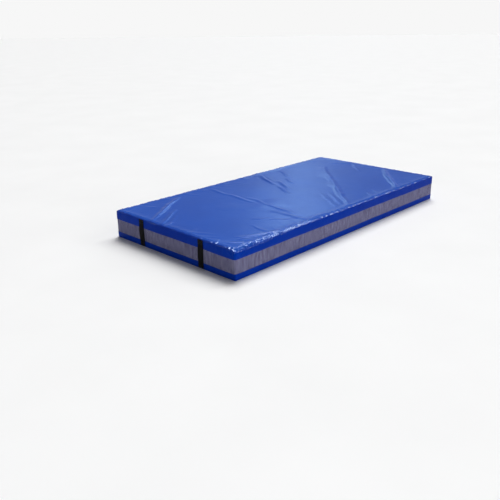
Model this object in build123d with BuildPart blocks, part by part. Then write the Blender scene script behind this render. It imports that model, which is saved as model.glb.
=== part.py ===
from build123d import *
import os

# A one-piece gym crash mat: two foam layers in a sewn cover with vinyl top and bottom, vinyl bands and air-release
# mesh around the sides, webbing handles on both short ends and a zipper along the back.
# Millimetres. The origin is the centre of the bottom face: +X runs along the length, +Y to the back (the side with
# the zipper) and +Z up. "left" is the -X end and "front" is the -Y side.

INCH = 25.4
FOOT = 12 * INCH

# Overall size
LENGTH = 8 * FOOT
WIDTH = 4 * FOOT
HEIGHT = 8 * INCH
CORNER_R = 10.0

# Cover. Depths are measured inwards from the outer face of the vinyl bands.
VINYL_T = 0.6
MESH_T = 1.0
TOP_ROLL_R = 5.0
TOP_ROLL_H = 6.0
BOTTOM_ROLL_R = 3.5
BOTTOM_ROLL_H = 4.0
TOP_BAND_BOTTOM = HEIGHT - 2.5 * INCH
BOTTOM_BAND_TOP = 1.75 * INCH
SEAM_LAP = 8.0
TOP_SEAM = HEIGHT - TOP_ROLL_H

# Foam
FOAM_INSET = 2.4
FOAM_EDGE_R = 6.0
FOAM_FOOT_R = 3.0
FOAM_CLEAR = 0.2
LANDING_LAYER_T = 1.5 * INCH
FOAM_BOTTOM = VINYL_T + FOAM_CLEAR
FOAM_TOP = HEIGHT - VINYL_T - FOAM_CLEAR
FOAM_SPLIT = FOAM_TOP - LANDING_LAYER_T
FOAM_CORNER_R = CORNER_R - FOAM_INSET

# Handles: flat webbing sewn down above and below, bowed out between for the fingers
WEBBING_W = 2 * INCH
WEBBING_T = 2.0
HANDLE_Y = WIDTH / 4
HANDLE_BOTTOM = 6.0
HANDLE_TOP = TOP_SEAM - 1.0
SEWN_BOTTOM = 35.0
SEWN_TOP = 165.0
HANDLE_BOW = 7.0

# Zipper: size 10 chain, between the bottom band and the mesh of the back side
ZIP_Z = 55.0
ZIP_OPENING = 90 * INCH
ROW_H = 4.5
ROW_T = 2.6
ROW_GAP = 0.05
TAPE_T = 0.6
TAPE_EDGE = 2.0
TAPE_W = 14.0
TAPE_TAIL = 26.0
TAPE_DEPTH = VINYL_T + MESH_T
ZIP_WINDOW = 22.0
BACK_MESH_BOTTOM = ZIP_Z + ZIP_WINDOW / 2
CHANNEL_TAIL = 20.0
CHANNEL_H = 20.0
CHANNEL_DEPTH = 4.7

# Slider and pull tab; "out" is measured outwards from the outer face of the bands
PLATE_T = 1.2
CLEAR = 0.3
SLIDER_L = 16.0
NOSE_L = 6.0
SLIDER_W = 12.2
NOSE_W = 16.0
POST_L = 5.5
POST_W = 3.0
BRIDGE_R = 6.0
BRIDGE_W = 3.0
BRIDGE_T = 1.2
TAB_T = 2.0
TAB_W = 9.0
TAB_L = 38.0
TAB_WINDOW_W = 4.6
TAB_WINDOW_L = 7.0
TAB_END_R = 3.0
TAB_HOLE_R = 1.8

ROW_OUT = ROW_T - TAPE_DEPTH
WING_OUT = ROW_OUT + CLEAR + PLATE_T
WING_FACE = ROW_OUT + CLEAR
BACK_WING_OUT = -(TAPE_DEPTH + TAPE_T + CLEAR)
PIN_OUT = WING_OUT + CLEAR + TAB_T / 2

# Along the zipper: the slider rests at its closed, left-hand end
SLIDER_X = -ZIP_OPENING / 2
ROW_START = SLIDER_X - SLIDER_L / 2 + POST_L + 2 * CLEAR
ROW_END = ZIP_OPENING / 2
STOP_L = 5.0
STOP_CORNER_R = 0.8
PATCH_LAP = 12.0
PATCH_START = ZIP_OPENING / 2 + TAPE_TAIL - PATCH_LAP
TOP_STOP_X = SLIDER_X - SLIDER_L / 2 - CLEAR - STOP_L / 2

SIDES = ("front", "back", "left", "right")
ENDS = {"left": -1, "right": 1}
LONG_SIDES = {"front": -1, "back": 1}

os.makedirs("parts", exist_ok=True)


def block(inset, radius, bottom, top, mode=Mode.ADD):
    """Extrude the mat's rounded outline, drawn in by inset, from bottom to top."""
    with BuildSketch(Plane.XY.offset(bottom)) as outline:
        RectangleRounded(LENGTH - 2 * inset, WIDTH - 2 * inset, radius)
    extrude(outline.sketch, amount=top - bottom, mode=mode)


def ring(inset, thickness, bottom, top):
    """Extrude a closed ring of skin that follows the mat's outline."""
    inner = inset + thickness
    with BuildSketch(Plane.XY.offset(bottom)) as outline:
        RectangleRounded(LENGTH - 2 * inset, WIDTH - 2 * inset, CORNER_R - inset)
        RectangleRounded(LENGTH - 2 * inner, WIDTH - 2 * inner, CORNER_R - inner, mode=Mode.SUBTRACT)
    extrude(outline.sketch, amount=top - bottom)


def keep_side(side):
    """Keep only one side of a ring, mitred at 45 degrees through the corners."""
    x, y = LENGTH / 2, WIDTH / 2
    outlines = {
        "front": [(-x, -y), (x, -y), (x - y, 0), (y - x, 0)],
        "back": [(x, y), (-x, y), (y - x, 0), (x - y, 0)],
        "left": [(-x, y), (-x, -y), (y - x, 0)],
        "right": [(x, -y), (x, y), (x - y, 0)],
    }
    with BuildSketch() as wedge:
        Polygon(*outlines[side], align=None)
    extrude(wedge.sketch, amount=HEIGHT, mode=Mode.INTERSECT)


def back_plane(out):
    """A plane parallel to the back, out from its face; an extrusion from it runs inwards, towards the front."""
    return Plane.XZ.offset(-(WIDTH / 2 + out))


def strip(x_start, x_end, z_start, z_end, out, thickness):
    """Extrude a flat rectangle on the back side, inwards from out."""
    with BuildSketch(back_plane(out)) as outline:
        with Locations(((x_start + x_end) / 2, (z_start + z_end) / 2)):
            Rectangle(x_end - x_start, z_end - z_start)
    extrude(outline.sketch, amount=thickness)


def slider_outline(margin=0, mode=Mode.ADD):
    """Draw the slider's outline, wide at the nose (-X), drawn in by margin above and below."""
    half, nose = SLIDER_W / 2 - margin, NOSE_W / 2 - margin
    front, back = SLIDER_X - SLIDER_L / 2, SLIDER_X + SLIDER_L / 2
    shoulder = front + NOSE_L
    points = [(front, nose), (shoulder, half), (back, half), (back, -half), (shoulder, -half), (front, -nose)]
    Polygon(*[(x, ZIP_Z + z) for x, z in points], align=None, mode=mode)


# Foam core, with a shallow channel behind the zipper where the slider's back plate presses into it
with BuildPart() as foam_core:
    block(FOAM_INSET, FOAM_CORNER_R, FOAM_BOTTOM, FOAM_SPLIT)
    fillet(foam_core.faces().sort_by(Axis.Z)[0].edges(), FOAM_FOOT_R)
    with BuildSketch(back_plane(0)):
        with Locations((0, ZIP_Z)):
            Rectangle(ZIP_OPENING + 2 * CHANNEL_TAIL, CHANNEL_H)
    extrude(amount=CHANNEL_DEPTH, mode=Mode.SUBTRACT)
foam_core.part.label = "foam_core"
export_step(foam_core.part, "parts/foam_core.step")

# Firmer layer that is landed on
with BuildPart() as foam_landing_layer:
    block(FOAM_INSET, FOAM_CORNER_R, FOAM_SPLIT, FOAM_TOP)
    fillet(foam_landing_layer.faces().sort_by(Axis.Z)[-1].edges(), FOAM_EDGE_R)
foam_landing_layer.part.label = "foam_landing_layer"
export_step(foam_landing_layer.part, "parts/foam_landing_layer.step")

# Top and bottom sheets: each is turned over the edge and seamed to the bands a little way down the side
with BuildPart() as top_panel:
    block(0, CORNER_R, TOP_SEAM, HEIGHT)
    block(VINYL_T, CORNER_R - VINYL_T, TOP_SEAM, HEIGHT - VINYL_T, mode=Mode.SUBTRACT)
    fillet(top_panel.faces().sort_by(Axis.Z)[-2].edges(), TOP_ROLL_R - VINYL_T)
    fillet(top_panel.faces().sort_by(Axis.Z)[-1].edges(), TOP_ROLL_R)
top_panel.part.label = "top_panel"
export_step(top_panel.part, "parts/top_panel.step")

with BuildPart() as bottom_panel:
    block(0, CORNER_R, 0, BOTTOM_ROLL_H)
    block(VINYL_T, CORNER_R - VINYL_T, VINYL_T, BOTTOM_ROLL_H, mode=Mode.SUBTRACT)
    fillet(bottom_panel.faces().sort_by(Axis.Z)[1].edges(), BOTTOM_ROLL_R - VINYL_T)
    fillet(bottom_panel.faces().sort_by(Axis.Z)[0].edges(), BOTTOM_ROLL_R)
bottom_panel.part.label = "bottom_panel"
export_step(bottom_panel.part, "parts/bottom_panel.step")

# Side skins: vinyl bands outside, mesh lapped behind them
for side in SIDES:
    with BuildPart() as top_band:
        ring(0, VINYL_T, TOP_BAND_BOTTOM, TOP_SEAM)
        keep_side(side)
    top_band.part.label = f"top_band_{side}"
    export_step(top_band.part, f"parts/top_band_{side}.step")

    with BuildPart() as mesh_panel:
        mesh_bottom = BACK_MESH_BOTTOM if side == "back" else BOTTOM_BAND_TOP - SEAM_LAP
        ring(VINYL_T, MESH_T, mesh_bottom, TOP_BAND_BOTTOM + SEAM_LAP)
        keep_side(side)
    mesh_panel.part.label = f"mesh_panel_{side}"
    export_step(mesh_panel.part, f"parts/mesh_panel_{side}.step")

    with BuildPart() as bottom_band:
        ring(0, VINYL_T, BOTTOM_ROLL_H, BOTTOM_BAND_TOP)
        keep_side(side)
    bottom_band.part.label = f"bottom_band_{side}"
    export_step(bottom_band.part, f"parts/bottom_band_{side}.step")

# Webbing handles at the quarter points of both ends
for end_name, end in ENDS.items():
    for side_name, side in LONG_SIDES.items():
        face = end * LENGTH / 2
        inner = [(face, SEWN_BOTTOM), (face + end * HANDLE_BOW, (SEWN_BOTTOM + SEWN_TOP) / 2), (face, SEWN_TOP)]
        outer = [(x + end * WEBBING_T, z) for x, z in inner]
        with BuildPart() as handle:
            with BuildSketch(Plane.XZ.offset(-(side * HANDLE_Y + WEBBING_W / 2))):
                with BuildLine():
                    ThreePointArc(*inner)
                    Polyline(inner[-1], (inner[-1][0], HANDLE_TOP), (outer[-1][0], HANDLE_TOP), outer[-1])
                    ThreePointArc(*reversed(outer))
                    Polyline(outer[0], (outer[0][0], HANDLE_BOTTOM), (inner[0][0], HANDLE_BOTTOM), inner[0])
                make_face()
            extrude(amount=WEBBING_W)
        handle.part.label = f"handle_{end_name}_{side_name}"
        export_step(handle.part, f"parts/handle_{end_name}_{side_name}.step")

# Zipper tapes and rows of teeth, above and below the centre line; each row is the closed outline of its coil
for row_name, up in {"upper": 1, "lower": -1}.items():
    tape_z = sorted(ZIP_Z + up * z for z in (TAPE_EDGE, TAPE_EDGE + TAPE_W))
    tape_half = ZIP_OPENING / 2 + TAPE_TAIL
    with BuildPart() as zipper_tape:
        strip(-tape_half, tape_half, *tape_z, -TAPE_DEPTH, TAPE_T)
    zipper_tape.part.label = f"zipper_tape_{row_name}"
    export_step(zipper_tape.part, f"parts/zipper_tape_{row_name}.step")

    row_z = sorted(ZIP_Z + up * z for z in (ROW_GAP, ROW_H))
    with BuildPart() as zipper_teeth:
        strip(ROW_START, ROW_END, *row_z, ROW_OUT, ROW_T)
    zipper_teeth.part.label = f"zipper_teeth_{row_name}"
    export_step(zipper_teeth.part, f"parts/zipper_teeth_{row_name}.step")

# Stops: one on each tape at the closed end, one across both at the open end
with BuildPart() as zipper_top_stops:
    with BuildSketch(back_plane(0)):
        with Locations((TOP_STOP_X, ZIP_Z + ROW_H), (TOP_STOP_X, ZIP_Z - ROW_H)):
            RectangleRounded(STOP_L, ROW_H, STOP_CORNER_R)
    extrude(amount=TAPE_DEPTH)
zipper_top_stops.part.label = "zipper_top_stops"
export_step(zipper_top_stops.part, "parts/zipper_top_stops.step")

with BuildPart() as zipper_bottom_stop:
    with BuildSketch(back_plane(ROW_OUT)):
        with Locations((ROW_END + STOP_L / 2, ZIP_Z)):
            RectangleRounded(STOP_L, 2 * ROW_H, STOP_CORNER_R)
    extrude(amount=ROW_T)
zipper_bottom_stop.part.label = "zipper_bottom_stop"
export_step(zipper_bottom_stop.part, "parts/zipper_bottom_stop.step")

# Vinyl patches that close the side between the zipper's ends and the corners
for end_name, end in ENDS.items():
    with BuildPart() as zipper_end_patch:
        ring(0, VINYL_T, BOTTOM_BAND_TOP, BACK_MESH_BOTTOM + SEAM_LAP)
        keep_side("back")
        with BuildSketch():
            with Locations((end * (PATCH_START + LENGTH / 2), WIDTH / 2)):
                Rectangle(LENGTH, WIDTH)
        extrude(amount=HEIGHT, mode=Mode.INTERSECT)
    zipper_end_patch.part.label = f"zipper_end_patch_{end_name}"
    export_step(zipper_end_patch.part, f"parts/zipper_end_patch_{end_name}.step")

# Slider: two plates joined by the post that parts the teeth, a lip over each row, and a bridge for the pull tab
with BuildPart() as zipper_slider:
    for plate_out in (WING_OUT, BACK_WING_OUT):
        with BuildSketch(back_plane(plate_out)):
            slider_outline()
        extrude(amount=PLATE_T)
    with BuildSketch(back_plane(WING_FACE)):
        slider_outline()
        slider_outline(PLATE_T, mode=Mode.SUBTRACT)
    extrude(amount=WING_FACE + TAPE_DEPTH - CLEAR)
    with BuildSketch(back_plane(WING_FACE)):
        with Locations((SLIDER_X - SLIDER_L / 2 + CLEAR + POST_L / 2, ZIP_Z)):
            Ellipse(POST_L / 2, POST_W / 2)
    extrude(amount=WING_FACE - BACK_WING_OUT)
    with BuildSketch(Plane.XY.offset(ZIP_Z - BRIDGE_W / 2)):
        with Locations((SLIDER_X, WIDTH / 2 + WING_OUT)):
            Circle(BRIDGE_R)
            Circle(BRIDGE_R - BRIDGE_T, mode=Mode.SUBTRACT)
            Rectangle(2 * BRIDGE_R, BRIDGE_R, align=(Align.CENTER, Align.MAX), mode=Mode.SUBTRACT)
    extrude(amount=BRIDGE_W)
zipper_slider.part.label = "zipper_slider"
export_step(zipper_slider.part, "parts/zipper_slider.step")

# Pull tab: a flat tongue whose cross-bar turns under the slider's bridge
with BuildPart() as zipper_pull_tab:
    with BuildSketch(back_plane(PIN_OUT + TAB_T / 2)):
        with Locations((SLIDER_X + TAB_L / 2, ZIP_Z)):
            tongue = Rectangle(TAB_L, TAB_W)
        fillet(tongue.vertices().group_by(Axis.X)[-1], TAB_END_R)
        with Locations((SLIDER_X + TAB_T / 2 + TAB_WINDOW_L / 2, ZIP_Z)):
            Rectangle(TAB_WINDOW_L - TAB_T / 2, TAB_WINDOW_W, mode=Mode.SUBTRACT)
        with Locations((SLIDER_X + TAB_L - TAB_W / 2, ZIP_Z)):
            Circle(TAB_HOLE_R, mode=Mode.SUBTRACT)
    extrude(amount=TAB_T)
    with BuildSketch(Plane.XY.offset(ZIP_Z - TAB_W / 2)):
        with Locations((SLIDER_X, WIDTH / 2 + PIN_OUT)):
            Circle(TAB_T / 2)
    extrude(amount=TAB_W)
zipper_pull_tab.part.label = "zipper_pull_tab"
export_step(zipper_pull_tab.part, "parts/zipper_pull_tab.step")
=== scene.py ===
import math

import bpy
import numpy as np
from mathutils import Matrix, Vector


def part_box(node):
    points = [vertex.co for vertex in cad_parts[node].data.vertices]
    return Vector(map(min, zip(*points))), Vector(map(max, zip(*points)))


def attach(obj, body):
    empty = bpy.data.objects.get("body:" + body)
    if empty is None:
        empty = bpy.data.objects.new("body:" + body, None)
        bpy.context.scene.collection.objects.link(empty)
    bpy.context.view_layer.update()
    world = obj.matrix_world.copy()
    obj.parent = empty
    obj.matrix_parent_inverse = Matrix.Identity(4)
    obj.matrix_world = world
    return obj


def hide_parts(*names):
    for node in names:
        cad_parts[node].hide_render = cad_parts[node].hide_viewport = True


# The gym crash mat of the frame, its cover modelled piece by piece: top sheet, bands, mesh, handles, zipper.
# Metres, in the row frame: +X along the length, +Y to the zipper side, +Z up, floor at z = 0.

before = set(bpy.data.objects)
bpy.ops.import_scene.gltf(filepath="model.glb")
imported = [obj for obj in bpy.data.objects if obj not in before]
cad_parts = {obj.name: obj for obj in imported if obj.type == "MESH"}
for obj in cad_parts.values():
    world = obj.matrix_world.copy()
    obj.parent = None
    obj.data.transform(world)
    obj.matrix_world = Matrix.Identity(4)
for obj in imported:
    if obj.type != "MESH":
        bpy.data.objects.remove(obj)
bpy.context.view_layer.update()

MM = 0.001


# ---- Sizes ----
def z_range(node):
    return [corner[2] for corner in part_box(node)]


# Read from the frame.
HALF_X, HALF_Y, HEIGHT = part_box("top_panel")[1]
TOP_SEAM = z_range("top_panel")[0]
BAND_EDGE = z_range("top_band_front")[0]
FLOOR_SEAM, LOWER_EDGE = z_range("bottom_band_front")
MESH_LOW, MESH_HIGH = z_range("mesh_panel_front")
BACK_MESH_LOW = z_range("mesh_panel_back")[0]
ZIP_Z = sum(z_range("zipper_slider")) / 2
ZIP_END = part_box("zipper_tape_upper")[1][0]

# Rounding and thickness of the cover.
CORNER_R = 10 * MM
TOP_ROLL_R = 5 * MM
FLOOR_ROLL_R = 3.5 * MM
SHEET_T = 1.1 * MM
MESH_DEPTH = 1.0 * MM

# Each side's way along, way outward, half length and distance from the middle.
SIDES = {
    "front": ((1, 0), (0, -1), HALF_X, HALF_Y),
    "right": ((0, 1), (1, 0), HALF_Y, HALF_X),
    "back": ((-1, 0), (0, 1), HALF_X, HALF_Y),
    "left": ((0, -1), (-1, 0), HALF_Y, HALF_X),
}

# ---- Fields and curves ----
FIELD_WAVES = 28
LINE_WAVES = 20
TINY = 1e-9


def waves(seed, wavelength, stretch=(1, 1, 1)):
    """A smooth random field of about unit size, a sum of sine waves in random directions."""
    rng = np.random.default_rng(seed)
    directions = rng.normal(size=(FIELD_WAVES, 3)) / np.array(stretch)
    directions /= np.linalg.norm(directions, axis=1).mean()
    wave_numbers = 2 * math.pi / wavelength * directions
    phases = rng.uniform(0, 2 * math.pi, FIELD_WAVES)

    def field(x, y, z=0.0):
        total = np.zeros(np.broadcast(x, y, z).shape)
        for (kx, ky, kz), phase in zip(wave_numbers, phases):
            total += np.sin(kx * x + ky * y + kz * z + phase)
        return total * math.sqrt(2 / FIELD_WAVES)

    return field


def line_waves(seed, wavelength):
    """The same along one coordinate."""
    rng = np.random.default_rng(seed)
    wave_numbers = 2 * math.pi / wavelength * rng.uniform(0.6, 1.5, LINE_WAVES)
    phases = rng.uniform(0, 2 * math.pi, LINE_WAVES)

    def field(s):
        total = sum(np.sin(k * s + phase) for k, phase in zip(wave_numbers, phases))
        return total * math.sqrt(2 / LINE_WAVES)

    return field


def crest(value, sharpness):
    """Thin crests where a smooth field passes through zero."""
    return np.exp(-np.abs(value) * sharpness)


def bell(distance, width):
    return np.exp(-((distance / width) ** 2))


def fade(distance, reach):
    """1 at no distance, dying away with it."""
    return np.exp(-distance / reach)


def smooth_step(value, low, high):
    t = np.clip((value - low) / (high - low), 0, 1)
    return t * t * (3 - 2 * t)


def soft_floor(value, floor, softness):
    """Value, but never lower than floor, with a soft bend between the two."""
    return floor + softness * np.logaddexp(0, (value - floor) / softness)


def graded(low, high, fine, coarse, reach):
    """Values from low to high, close together within reach of both ends."""
    ends = np.arange(0, reach, fine)
    middle = np.linspace(low + reach, high - reach, max(2, round((high - low - 2 * reach) / coarse)))
    return np.concatenate([low + ends, middle, (high - ends)[::-1]])


def middle_and_half(low, high):
    return (low + high) / 2, (high - low) / 2


def lengths(vectors):
    return np.linalg.norm(vectors, axis=-1, keepdims=True)


def unit(vectors):
    return vectors / lengths(vectors)


def marks_along(path):
    """How far along a path each of its points is."""
    return np.concatenate([[0], np.cumsum(lengths(np.diff(path, axis=0)))])


def stack(*parts):
    """Arrays and numbers laid side by side along a new last axis, such as x, y and z into points."""
    return np.stack(np.broadcast_arrays(*parts), axis=-1)


# ---- Meshes ----
def new_object(name, data):
    piece = bpy.data.objects.new(name, data)
    bpy.context.scene.collection.objects.link(piece)
    return piece


def smooth_piece(name, vertices, faces):
    mesh = bpy.data.meshes.new(name)
    mesh.from_pydata(vertices, [], faces)
    mesh.shade_smooth()
    return new_object(name, mesh)


def grid_faces(rows, columns):
    index = np.arange(rows * columns).reshape(rows, columns)
    return stack(index[:-1, :-1], index[:-1, 1:], index[1:, 1:], index[1:, :-1]).reshape(-1, 4)


def grid_piece(name, points, uv):
    """A sheet of rows x columns of points, seen from the side where rows go up and columns go right."""
    piece = smooth_piece(name, points.reshape(-1, 3).tolist(), grid_faces(*points.shape[:2]).tolist())
    mesh = piece.data
    layer = mesh.uv_layers.new(name="UVMap")
    corner_vertices = np.empty(len(mesh.loops), dtype=np.int64)
    mesh.loops.foreach_get("vertex_index", corner_vertices)
    layer.data.foreach_set("uv", uv.reshape(-1, 2)[corner_vertices].ravel())
    return piece


def solidify(piece, thickness, offset=-1):
    skin = piece.modifiers.new("Thickness", "SOLIDIFY")
    skin.thickness = thickness
    skin.offset = offset
    skin.use_rim = True


def around(count):
    """The corners of a regular polygon in the unit circle."""
    angles = (math.pi / count + k * 2 * math.pi / count for k in range(count))
    return [(math.cos(angle), math.sin(angle)) for angle in angles]


def beads(name, places, corners, flip=False):
    """Closed beads of one form: places has, for each point of a bead, where that point is on all of them.

    The points go around a bead ring by ring, and each ring has that many corners."""
    vertices = np.stack(places, axis=1)
    count, size = vertices.shape[:2]
    sides = []
    for ring in range(0, size - corners, corners):
        for k in range(corners):
            a, b = ring + k, ring + (k + 1) % corners
            sides.append((a, b, b + corners, a + corners))
    caps = [range(corners)[::-1], range(size - corners, size)]
    offsets = size * np.arange(count)[:, None, None]
    faces = []
    for group in (sides, caps):
        faces += (offsets + np.array(group)).reshape(-1, len(group[0])).tolist()
    if flip:
        faces = [face[::-1] for face in faces]
    return smooth_piece(name, vertices.reshape(-1, 3).tolist(), faces)


# ---- Materials ----
def srgb(red, green, blue):
    """A colour given as on a screen, from 0 to 255, made linear."""
    values = [c / 255 for c in (red, green, blue)]
    return tuple(c / 12.92 if c <= 0.04045 else ((c + 0.055) / 1.055) ** 2.4 for c in values) + (1,)


class Look:
    """The node tree of a new material, or of a world, built with short calls."""

    def __init__(self, name, kind=bpy.data.materials):
        self.owner = kind.new(name)
        self.owner.use_nodes = True
        self.nodes = self.owner.node_tree.nodes
        self.places = self.nodes.new("ShaderNodeTexCoord").outputs

    def feed(self, socket, value):
        """Link a socket to another one, or set it to a value."""
        if isinstance(value, bpy.types.NodeSocket):
            self.owner.node_tree.links.new(value, socket)
        else:
            socket.default_value = value

    def add(self, kind, inputs, output=0, **settings):
        """A new node with its settings and inputs: gives one of its outputs."""
        node = self.nodes.new("ShaderNode" + kind)
        for key, value in settings.items():
            setattr(node, key, value)
        for key, value in inputs.items():
            self.feed(node.inputs[key], value)
        return node.outputs[output]

    def turned(self, kind, scale, rotation=(0, 0, 0)):
        """Coordinates of a kind, stretched and turned."""
        return self.add("Mapping", {"Vector": self.places[kind], "Scale": scale, "Rotation": rotation})

    def split(self, kind):
        return self.add("SeparateXYZ", {0: self.places[kind]}).node.outputs

    def noise(self, scale, detail=3.0, roughness=0.5, vector=None, distortion=0.0):
        inputs = {"Vector": vector or self.places["Object"], "Scale": scale, "Detail": detail,
                  "Roughness": roughness, "Distortion": distortion}
        return self.add("TexNoise", inputs)

    def cells(self, scale, feature="F1"):
        return self.add("TexVoronoi", {"Vector": self.places["Object"], "Scale": scale}, feature=feature)

    def math(self, operation, a, b=0.0):
        return self.add("Math", {0: a, 1: b}, operation=operation)

    def ripple(self, place, pitch):
        """A sine wave along a coordinate."""
        return self.math("SINE", self.math("MULTIPLY", place, 2 * math.pi / pitch))

    def remap(self, value, low, high, to_low=0.0, to_high=1.0):
        inputs = {"Value": value, "From Min": low, "From Max": high, "To Min": to_low, "To Max": to_high}
        return self.add("MapRange", inputs, clamp=True)

    def mix(self, factor, a, b):
        """Two colours, mixed: the node's sockets 6, 7 and 2 are its colour ones."""
        return self.add("Mix", {0: factor, 6: a, 7: b}, 2, data_type="RGBA")

    def tint(self, color, other, texture, low=0.3, high=0.7, share=1.0):
        """A colour that goes over to another one, up to a share, as a texture rises from low to high."""
        return self.mix(self.remap(texture, low, high, 0, share), color, other)

    def bump(self, height, distance, strength=1.0, below=None):
        inputs = {"Strength": strength, "Distance": distance, "Height": height}
        if below is not None:
            inputs["Normal"] = below
        return self.add("Bump", inputs)

    def finish(self, color, roughness, **values):
        values.update(Base_Color=color, Roughness=roughness)
        for name, value in values.items():
            self.feed(self.nodes["Principled BSDF"].inputs[name.replace("_", " ")], value)
        return self.owner


def vinyl(name, light, dark, gloss, dullness, worn, rim=None):
    """Coated fabric: soft sheen, leather-like grain, faint creases, dull scuffs and tiny colour changes.

    With rim given, the colour goes over to that one, the painted shade of the sides, where the cloth turns
    down to its seam, and it is rubbed shinier there."""
    look = Look(name)
    color = look.tint(light, dark, look.noise(2.2, 3, 0.55))
    color = look.tint(color, dark, look.noise(26, 4, 0.6), 0.35, 0.75, 0.22)
    scuffed = look.noise(11, 5, 0.6, look.turned("Object", (1, 5, 1), (0, 0, 0.6)), 0.3)
    scuff = look.remap(scuffed, 0.58, 0.80)
    color = look.mix(look.math("MULTIPLY", scuff, 0.10), color, worn)
    patches = look.remap(look.noise(14, 3, 0.5), 0.3, 0.7, dullness - 0.012, dullness + 0.012)
    roughness = look.math("ADD", patches, look.math("MULTIPLY", scuff, 0.012))
    if rim:
        gaps = [look.math("SUBTRACT", look.math("ABSOLUTE", place), half)
                for place, half in zip(look.split("Object"), (HALF_X, HALF_Y))]
        over = look.math("MAXIMUM", *gaps)
        # Painted shade: within 15 mm of the edge the lit top colour goes over to the sides' shaded blue.
        color = look.tint(color, rim, over, -15 * MM, -2 * MM)
        roughness = look.math("SUBTRACT", roughness, look.remap(over, -30 * MM, -12 * MM, 0, 0.10))
        gloss = look.remap(over, -30 * MM, -12 * MM, gloss, 0.75)
    normal = look.bump(look.noise(34, 4, 0.5, distortion=0.6), 0.8 * MM, 0.3)
    normal = look.bump(look.noise(6, 2, 0.5), 3 * MM, 0.2, normal)
    normal = look.bump(look.cells(620, "SMOOTH_F1"), 0.09 * MM, 0.5, normal)
    return look.finish(color, roughness, Normal=normal, Specular_IOR_Level=gloss,
                       Specular_Tint=(0.6, 0.8, 1.0, 1))


def air_mesh(pitch=2.4 * MM):
    """Open vinyl-coated mesh: round yarns that cross at a pitch, with painted shade in the holes between
    them.
    """
    look = Look("air_mesh")
    u, v, _ = look.split("UV")
    yarn = look.math("MAXIMUM", look.ripple(u, pitch), look.ripple(v, pitch))
    streak = look.noise(55, 3, 0.6, look.turned("UV", (1, 0.22, 1)))
    fleck = look.noise(420, 2, 0.6)
    color = look.tint(srgb(148, 147, 184), srgb(98, 97, 132), streak)
    color = look.tint(color, srgb(172, 168, 202), fleck, 0.45, 0.75, 0.5)
    # Painted shade: the holes between the yarns are dark grey, for the shade behind the open weave.
    color = look.tint(srgb(40, 40, 48), color, yarn, -0.35, 0.25)
    normal = look.bump(look.noise(30, 3, 0.5), 2 * MM, 0.3)
    normal = look.bump(yarn, 0.35 * MM, 0.7, normal)
    roughness = look.remap(fleck, 0.3, 0.7, 0.62, 0.8)
    return look.finish(color, roughness, Normal=normal, Specular_IOR_Level=0.03)


def webbing(name, light, dark, rib=3.2 * MM):
    """Flat woven webbing or tape: ribs across, crossed by the fine diagonal of its weave, with painted shade
    in the grooves and painted light on the ribs.
    """
    look = Look(name)
    u, v, _ = look.split("UV")
    ribs = look.math("MULTIPLY", look.ripple(v, rib), 0.5)
    diagonal = look.math("MULTIPLY", look.ripple(look.math("ADD", u, v), rib / 2), 0.5)
    weave = look.math("ADD", ribs, diagonal)
    fuzz = look.noise(900, 3, 0.7)
    # Painted shade and light: the weave is darker in its grooves and lighter on its ribs, following its
    # bumps.
    color = look.tint(dark, light, weave, -0.8, 0.8)
    color = look.tint(color, light, fuzz, 0.5, 0.8, 0.5)
    normal = look.bump(weave, 0.35 * MM, 0.8)
    normal = look.bump(fuzz, 0.12 * MM, 0.5, normal)
    roughness = look.remap(fuzz, 0.3, 0.7, 0.6, 0.85)
    return look.finish(color, roughness, Normal=normal, Specular_IOR_Level=0.1)


def thread(name, color, shade):
    look = Look(name)
    twist = look.noise(1500, 2, 0.5)
    normal = look.bump(twist, 0.08 * MM, 0.6)
    return look.finish(look.tint(color, shade, twist), 0.5, Normal=normal, Sheen_Weight=0.15)


def nickel():
    """Plated die casting: bright, with fine scratches and slightly dull patches."""
    look = Look("nickel")
    scratch = look.noise(260, 5, 0.7, look.turned("Object", (1, 1, 9)), 0.4)
    color = look.tint(srgb(196, 197, 200), srgb(160, 161, 166), look.noise(300, 3))
    roughness = look.remap(scratch, 0.3, 0.7, 0.2, 0.42)
    return look.finish(color, roughness, Normal=look.bump(scratch, 0.03 * MM, 0.5), Metallic=1.0)


def coil_nylon():
    look = Look("coil_nylon")
    worn = look.noise(700, 3)
    color = look.tint(srgb(24, 24, 27), srgb(52, 52, 58), worn, 0.4, 0.75)
    return look.finish(color, look.remap(worn, 0.3, 0.7, 0.3, 0.5), Normal=look.bump(worn, 0.05 * MM, 0.4))


def foam(name, light, dark):
    look = Look(name)
    pores = look.cells(420)
    # Painted shade: each pore is darker in its hollow, where its bump is lowest.
    color = look.tint(look.tint(dark, light, pores, 0.1, 0.6), dark, look.noise(4), 0.35, 0.65, 0.3)
    return look.finish(color, 0.9, Normal=look.bump(pores, 0.6 * MM, 0.7), Specular_IOR_Level=0.2)


def floor_paint():
    look = Look("floor_paint")
    return look.finish(look.tint(srgb(247, 247, 247), srgb(244, 244, 244), look.noise(1.5)), 0.75)


# Painted light and shade: the top and the sides are one vinyl, but the top's blue is made lighter for the
# light from above and the sides' blue darker for their shade.
SHADED_BAND_BLUE = srgb(0, 55, 170)
LIT_VINYL_TOP = vinyl("lit_vinyl_top", srgb(32, 88, 192), srgb(25, 78, 180), 0.36, 0.30, srgb(150, 170, 220),
                  SHADED_BAND_BLUE)
SHADED_VINYL_SIDE = vinyl("shaded_vinyl_side", SHADED_BAND_BLUE, srgb(0, 46, 156), 0.03, 0.36, srgb(30, 90, 200))
AIR_MESH = air_mesh()
STRAP = webbing("strap_webbing", srgb(17, 16, 18), srgb(5, 5, 6))
TAPE = webbing("zipper_tape", srgb(24, 24, 27), srgb(9, 9, 11), 1.2 * MM)
BLUE_THREAD = thread("blue_thread", srgb(40, 80, 180), srgb(20, 50, 140))
BLACK_THREAD = thread("black_thread", srgb(38, 38, 41), srgb(18, 18, 20))
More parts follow.
